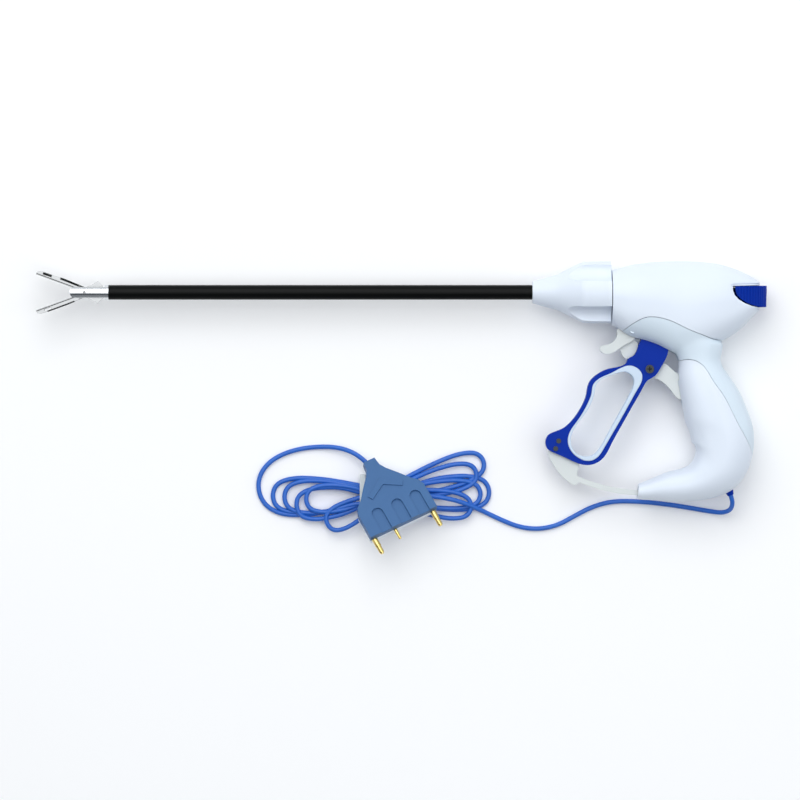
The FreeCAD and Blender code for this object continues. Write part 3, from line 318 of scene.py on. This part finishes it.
def dressed(node, material, angle=32, edge=0.0, steps=2):
    """A copy of a CAD node with doubles merged and curves shaded smooth, which stands for it.

    An edge above 0 rounds its corners by that much.
    """
    shape = bmesh.new()
    shape.from_mesh(frame["nodes"][node].data)
    bmesh.ops.remove_doubles(shape, verts=shape.verts, dist=DOUBLES)
    if edge:
        bmesh.ops.dissolve_limit(shape, angle_limit=FLAT_ANGLE, verts=shape.verts, edges=shape.edges)
    shape.verts.index_update()
    mesh = bpy.data.meshes.new(node + "_dressed")
    mesh.from_pydata([tuple(vert.co) for vert in shape.verts], [],
                     [[vert.index for vert in face.verts] for face in shape.faces])
    shape.free()
    mesh.materials.append(material)
    mesh.shade_smooth()
    mesh.set_sharp_from_angle(angle=math.radians(angle))
    piece = bpy.data.objects.new(node + "_dressed", mesh)
    bpy.context.scene.collection.objects.link(piece)
    if edge:
        rounding = piece.modifiers.new("edge", "BEVEL")
        rounding.width = edge
        rounding.segments = steps
        rounding.limit_method = "ANGLE"
        rounding.angle_limit = math.radians(angle)
        rounding.use_clamp_overlap = True
    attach(piece, body_of[node])
    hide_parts(node)
    return piece


def moulding(name, dark, light, roughness, grain=0.06, shine=0.4):
    """Moulded plastic: a faint cloud of colour and gloss, and the fine grain of the mould."""
    material, shader, place = new_finish(name, IOR=1.49, Specular_IOR_Level=shine)
    cloud = place.noise(35.0, detail=3.0)
    feed(shader, "Base Color", cloud.blend((*dark, 1), (*light, 1)))
    feed(shader, "Roughness", cloud * MOULD_SWAY + roughness)
    feed(shader, "Normal", place.noise(MOULD_GRAIN).bump(grain, distance=0.1 * MM))
    return material


white_shell = moulding("white_shell", (0.73, 0.80, 0.90), (0.76, 0.83, 0.92), 0.33)
grey_shell = moulding("grey_shell", (0.67, 0.775, 0.87), (0.70, 0.805, 0.89), 0.34)
SHELL_CREASE = 58
COLLAR = photo_point(708, 343)
COLLAR_REACH = 24 * MM
COLLAR_FULL = 11 * MM
HEEL = photo_point(699, 446)
HEEL_REACH = 19 * MM
HEEL_FULL = 9 * MM
RIM_ANGLE = math.radians(66)
RIM_RINGS = 5
PLANE_DEEP = 0.6 * MM
EVENING_ROUNDS = 60


def relaxed(piece, middle, reach, full):
    """Evens out a crease round a middle seen from above, and leaves what is out of reach as it was.

    Each round moves a point half way to the mean of its neighbours, times a share that is 1 up to
    full from the middle and falls off as a smooth step to 0 at reach. The rims at the grooves stay,
    and points on the mid-plane keep their height.
    """
    mesh = piece.data
    places = np.empty(len(mesh.vertices) * 3)
    mesh.vertices.foreach_get("co", places)
    places = places.reshape(-1, 3)
    apart = np.hypot(places[:, 0] - middle.x, places[:, 1] - middle.y)
    step = np.clip((reach - apart) / (reach - full), 0, 1)
    share = 0.5 * step * step * (3 - 2 * step)
    on_plane = np.abs(places[:, 2] - shaft_z) < PLANE_DEEP
    shape = bmesh.new()
    shape.from_mesh(mesh)
    pairs = np.array([[vert.index for vert in edge.verts] for edge in shape.edges])
    bends = np.array([edge.calc_face_angle(0) for edge in shape.edges])
    shape.free()
    rim = np.zeros(len(places), dtype=bool)
    rim[pairs[bends > RIM_ANGLE].ravel()] = True
    rim &= ~on_plane
    rings = np.zeros(len(places))
    reached = rim.copy()
    for _ in range(RIM_RINGS):
        rings += ~reached
        reached[pairs[reached[pairs].any(axis=1)].ravel()] = True
    share = share * rings / RIM_RINGS
    pairs = pairs[(share[pairs] > 0).any(axis=1)]
    share = share[:, None] * np.ones(3)
    share[on_plane, 2] = 0
    count = np.maximum(np.bincount(pairs.ravel(), minlength=len(places)), 1)
    for _ in range(EVENING_ROUNDS):
        total = [np.bincount(pairs[:, 0], places[pairs[:, 1], axis], len(places))
                 + np.bincount(pairs[:, 1], places[pairs[:, 0], axis], len(places)) for axis in range(3)]
        places += share * (np.transpose(total / count) - places)
    mesh.vertices.foreach_set("co", places.ravel())
    mesh.update()


for side in ("near", "far"):
    dressed("housing_" + side, white_shell, SHELL_CREASE)
    frame_shell = dressed("frame_" + side, grey_shell, SHELL_CREASE)
    relaxed(frame_shell, COLLAR, COLLAR_REACH, COLLAR_FULL)
    grip_shell = dressed("grip_" + side, white_shell, SHELL_CREASE)
    relaxed(grip_shell, HEEL, HEEL_REACH, HEEL_FULL)
dressed("rotation_knob", white_shell)

# Blue mouldings
# The trigger lever, the activation button and the cord's boot are one deep blue with little shine.
deep_blue = moulding("deep_blue", (0.0015, 0.026, 0.31), (0.0025, 0.031, 0.35), 0.36, shine=0.06)
dressed("trigger_lever", deep_blue, edge=0.9 * MM, steps=3)
dressed("activation_button", deep_blue)
dressed("cord_boot", deep_blue, angle=60)

# Pale inner mouldings
# The loop's soft liner, the latch arm, the link, the knife trigger and its tab are a pale,
# slightly milky plastic.
pale = moulding("pale_plastic", (0.635, 0.68, 0.68), (0.675, 0.72, 0.72), 0.42)
liner_pale = moulding("liner_plastic", (0.56, 0.68, 0.82), (0.60, 0.71, 0.85), 0.42)
dressed("loop_liner", liner_pale, edge=0.4 * MM)
for node in ("latch_arm", "trigger_link", "knife_trigger", "lockout_tab"):
    dressed(node, pale, edge=0.4 * MM)
for node in ("drive_spool", "knife_slider"):
    dressed(node, pale)

# Metal
# Bright clevis and ring, satin jaws, turned pins and tubes, and the plated contacts of the plug.
# The screw and the rivets are dark, and the knife trigger's pin ends in the frame's own plastic.
METAL_DULL = 0.9
METAL_SWAY = 0.10
METAL_GRAIN = 1500.0


def metal(name, colour, roughness, stretch, scratch):
    """Polished or turned metal with fine scratches drawn out along one axis."""
    material, shader, place = new_finish(name, Metallic=1.0)
    cloud = place.noise(120.0, detail=3.0, stretch=stretch)
    dull = [value * METAL_DULL for value in colour]
    feed(shader, "Base Color", cloud.blend((*dull, 1), (*colour, 1)))
    feed(shader, "Roughness", cloud * METAL_SWAY + roughness)
    feed(shader, "Normal", place.noise(METAL_GRAIN, stretch=stretch).bump(scratch, distance=0.05 * MM))
    return material


bright_steel = metal("bright_steel", (0.80, 0.82, 0.84), 0.14, (0.1, 1, 1), 0.10)
jaw_steel = metal("jaw_steel", (0.43, 0.44, 0.445), 0.28, (0.1, 1, 1), 0.14)
plain_steel = metal("plain_steel", (0.26, 0.264, 0.268), 0.36, (1, 1, 0.1), 0.20)
dark_steel = metal("dark_steel", (0.05, 0.054, 0.058), 0.40, (1, 1, 0.1), 0.20)
gold = metal("gold", (0.86, 0.66, 0.24), 0.20, (1, 1, 1), 0.10)
for node in ("clevis", "front_ring"):
    dressed(node, bright_steel, edge=0.12 * MM)
for node in ("upper_jaw", "lower_jaw"):
    dressed(node, jaw_steel, edge=0.28 * MM)
for node in ("upper_seal_plate", "lower_seal_plate"):
    dressed(node, jaw_steel)
for node in ("jaw_pivot_pin", "drive_pin", "drive_tube", "shaft_tube", "knife_blade", "knife_rod",
             "trigger_pin"):
    dressed(node, plain_steel)
for node in ("upper_rivet", "lower_rivet", "trigger_screw"):
    dressed(node, dark_steel)
dressed("knife_trigger_pin", grey_shell)
plug_pins = [dressed(node, gold) for node in ("plug_left_pin", "plug_right_pin", "plug_middle_pin")]

# Sleeve and insulators
# A smooth black sleeve over the shaft, the dark layer under each seal plate, and the green switch
# board behind the activation button.
black = moulding("black_sleeve", (0.002, 0.0024, 0.0024), (0.004, 0.0045, 0.0045), 0.30, shine=0.09)
dressed("shaft_sleeve", black)
dressed("upper_insulator", black)
dressed("lower_insulator", black)
board = moulding("board", (0.01, 0.10, 0.04), (0.02, 0.14, 0.06), 0.4)
dressed("switch_board", board)

# Jaw insulation, and painted shade in the screw's slots
# Black overmoulding shows in the upper jaw's window and along both jaws' backs, and black sheets at the
# bottom of the trigger screw's cross recess are painted shade. Thin pieces of their own, fixed to the jaws
# and screw.
JAW_PIVOT = -357.9
JAW_OPEN = 20.0
JAW_SIDE = 2.5
WINDOW = [(-30.8, 1.75), (-24.6, 1.75), (-24.6, 3.5), (-30.8, 3.35)]
UPPER_BACK = [(-18.6, 2.5), (-14, 2.45), (-5.0, 2.15), (-5.0, 3.55), (-14, 3.98), (-18.6, 4.0)]
UPPER_ROOT = [(-5.0, 2.15), (-1.0, 2.2), (-1.0, 3.45), (-5.0, 3.5)]
LOWER_BACK = [(-28.0, 3.2), (-14, 3.1), (-8.4, 2.95), (-8.4, 3.7), (-14, 3.95), (-28.0, 3.9)]
SCREW = (26.0, -52.2)
SCREW_ARM = 1.68
SCREW_WIDE = 0.33
SLOT_SHADE_DEPTH = (6.45, 6.6)
ROOT_DEPTH = (0.4, 2.25)
WINDOW_PROUD = 0.04
UPPER_PROUD = 0.1
LOWER_PROUD = 0.05


def prism(name, outline, low, high, body, slot, spin=None):
    """A closed prism of an outline in the instrument's own millimetres, fixed to a body.

    With a spin, the outline is a jaw's: it is turned by that many degrees about the jaws' pivot.
    """
    count = len(outline)
    points = [Vector((x, y, z)) * MM for z in (low, high) for x, y in outline]
    if spin is not None:
        turn = Matrix.Rotation(math.radians(spin), 4, "Z")
        points = [turn @ point + Vector((JAW_PIVOT * MM, 0, 0)) for point in points]
    base = Vector((front_x, shaft_y, shaft_z))
    walls = [(i, (i + 1) % count, count + (i + 1) % count, count + i) for i in range(count)]
    mesh = bpy.data.meshes.new(name)
    mesh.from_pydata([tuple(base + point) for point in points], [],
                     walls + [tuple(range(count))[::-1], tuple(range(count, 2 * count))])
    mesh.materials.append(black)
    piece = bpy.data.objects.new(name, mesh)
    bpy.context.scene.collection.objects.link(piece)
    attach(piece, body)


prism("upper_window", WINDOW, -JAW_SIDE - WINDOW_PROUD, JAW_SIDE + WINDOW_PROUD,
      "upper_jaw_body", "insulator", -JAW_OPEN)
prism("upper_root", UPPER_ROOT, *ROOT_DEPTH, "upper_jaw_body", "insulator", -JAW_OPEN)
prism("upper_back", UPPER_BACK, -JAW_SIDE - UPPER_PROUD, JAW_SIDE + UPPER_PROUD,
      "upper_jaw_body", "insulator", -JAW_OPEN)
prism("lower_back", [(x, -y) for x, y in LOWER_BACK[::-1]], -JAW_SIDE - LOWER_PROUD, JAW_SIDE + LOWER_PROUD,
      "lower_jaw_body", "insulator", JAW_OPEN)
# Two crossed black sheets deep in the screw's cross recess are painted shade, not a part of the steel screw.
for name, along, over in (("screw_slot_shade_x", SCREW_ARM, SCREW_WIDE), ("screw_slot_shade_y", SCREW_WIDE, SCREW_ARM)):
    corners = [(SCREW[0] + x * along, SCREW[1] + y * over) for x, y in ((-1, -1), (1, -1), (1, 1), (-1, 1))]
    prism(name, corners, *SLOT_SHADE_DEPTH, "trigger", "plain_steel")

# Plug
# A flat fan-shaped plug lies on the hank: a blue cover with a ridge and three arched recesses over
# a white base. The cord reaches it from the big loop, and a pale tie holds the turns under it.
plug_blue = moulding("plug_blue", (0.042, 0.125, 0.30), (0.050, 0.145, 0.33), 0.42, grain=0.10, shine=0.3)
plug_pieces = [dressed("plug_cover", plug_blue, edge=0.5 * MM),
               dressed("plug_base", white_shell, edge=0.4 * MM)]
tie = dressed("hank_tie", pale, edge=0.3 * MM)
